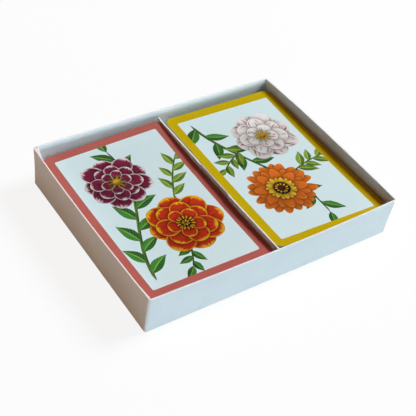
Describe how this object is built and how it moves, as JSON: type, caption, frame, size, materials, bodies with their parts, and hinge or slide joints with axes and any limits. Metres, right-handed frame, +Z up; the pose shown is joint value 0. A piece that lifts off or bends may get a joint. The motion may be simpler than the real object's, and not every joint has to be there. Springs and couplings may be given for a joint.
{
  "type": "double deck of playing cards",
  "caption": "Open paper-covered board tray with a low card divider that holds two decks of playing cards side by side, backs up, ready to lift out, cut or deal.",
  "frame": {"origin": "middle of the tray's underside, on the surface that it stands on", "axes": "+X along the long front wall to the right, +Y from the front wall to the back, +Z up"},
  "size_m": [0.1204, 0.0924, 0.019],
  "materials": {
    "white_paper": "satin",
    "greyboard": "matte",
    "stay_tape": "matte",
    "liner_card": "matte",
    "coral_card_stock": "satin",
    "yellow_card_stock": "satin"
  },
  "bodies": {
    "tray": {"base_paper": "white_paper", "base_board": "greyboard", "front_wall_board": "greyboard", "back_wall_board": "greyboard", "left_wall_board": "greyboard", "right_wall_board": "greyboard", "corner_stay_front_left": "stay_tape", "corner_stay_front_right": "stay_tape", "corner_stay_back_left": "stay_tape", "corner_stay_back_right": "stay_tape", "side_wrap": "white_paper", "left_liner": "liner_card", "right_liner": "liner_card"},
    "coral_lower_half": {"coral_ace_of_hearts": "coral_card_stock", "coral_two_to_ten_of_hearts": "coral_card_stock", "coral_jack_of_hearts": "coral_card_stock", "coral_queen_of_hearts": "coral_card_stock", "coral_king_of_hearts": "coral_card_stock", "coral_ace_of_clubs": "coral_card_stock", "coral_two_to_ten_of_clubs": "coral_card_stock", "coral_jack_of_clubs": "coral_card_stock", "coral_queen_of_clubs": "coral_card_stock", "coral_king_of_clubs": "coral_card_stock"},
    "coral_upper_half": {"coral_ace_of_diamonds": "coral_card_stock", "coral_two_to_ten_of_diamonds": "coral_card_stock", "coral_jack_of_diamonds": "coral_card_stock", "coral_queen_of_diamonds": "coral_card_stock", "coral_king_of_diamonds": "coral_card_stock", "coral_ace_of_spades": "coral_card_stock", "coral_two_to_ten_of_spades": "coral_card_stock", "coral_jack_of_spades": "coral_card_stock", "coral_queen_of_spades": "coral_card_stock", "coral_king_of_spades": "coral_card_stock", "coral_joker_2": "coral_card_stock"},
    "coral_top_card": {"coral_joker_1": "coral_card_stock"},
    "yellow_lower_half": {"yellow_ace_of_hearts": "yellow_card_stock", "yellow_two_to_ten_of_hearts": "yellow_card_stock", "yellow_jack_of_hearts": "yellow_card_stock", "yellow_queen_of_hearts": "yellow_card_stock", "yellow_king_of_hearts": "yellow_card_stock", "yellow_ace_of_clubs": "yellow_card_stock", "yellow_two_to_ten_of_clubs": "yellow_card_stock", "yellow_jack_of_clubs": "yellow_card_stock", "yellow_queen_of_clubs": "yellow_card_stock", "yellow_king_of_clubs": "yellow_card_stock"},
    "yellow_upper_half": {"yellow_ace_of_diamonds": "yellow_card_stock", "yellow_two_to_ten_of_diamonds": "yellow_card_stock", "yellow_jack_of_diamonds": "yellow_card_stock", "yellow_queen_of_diamonds": "yellow_card_stock", "yellow_king_of_diamonds": "yellow_card_stock", "yellow_ace_of_spades": "yellow_card_stock", "yellow_two_to_ten_of_spades": "yellow_card_stock", "yellow_jack_of_spades": "yellow_card_stock", "yellow_queen_of_spades": "yellow_card_stock", "yellow_king_of_spades": "yellow_card_stock", "yellow_joker_2": "yellow_card_stock"},
    "yellow_top_card": {"yellow_joker_1": "yellow_card_stock"}
  },
  "joints": [
    {"name": "coral_deck_lift", "type": "slide", "parent": "tray", "child": "coral_lower_half", "axis": [0, 0, 1], "range_m": [0, 0.04]},
    {"name": "coral_cut_lift", "type": "slide", "parent": "coral_lower_half", "child": "coral_upper_half", "axis": [0, 0, 1], "range_m": [0, 0.03]},
    {"name": "coral_top_card_lift", "type": "slide", "parent": "coral_upper_half", "child": "coral_top_card", "axis": [0, 0, 1], "range_m": [0, 0.03]},
    {"name": "yellow_deck_lift", "type": "slide", "parent": "tray", "child": "yellow_lower_half", "axis": [0, 0, 1], "range_m": [0, 0.04]},
    {"name": "yellow_cut_lift", "type": "slide", "parent": "yellow_lower_half", "child": "yellow_upper_half", "axis": [0, 0, 1], "range_m": [0, 0.03]},
    {"name": "yellow_top_card_lift", "type": "slide", "parent": "yellow_upper_half", "child": "yellow_top_card", "axis": [0, 0, 1], "range_m": [0, 0.03]}
  ]
}
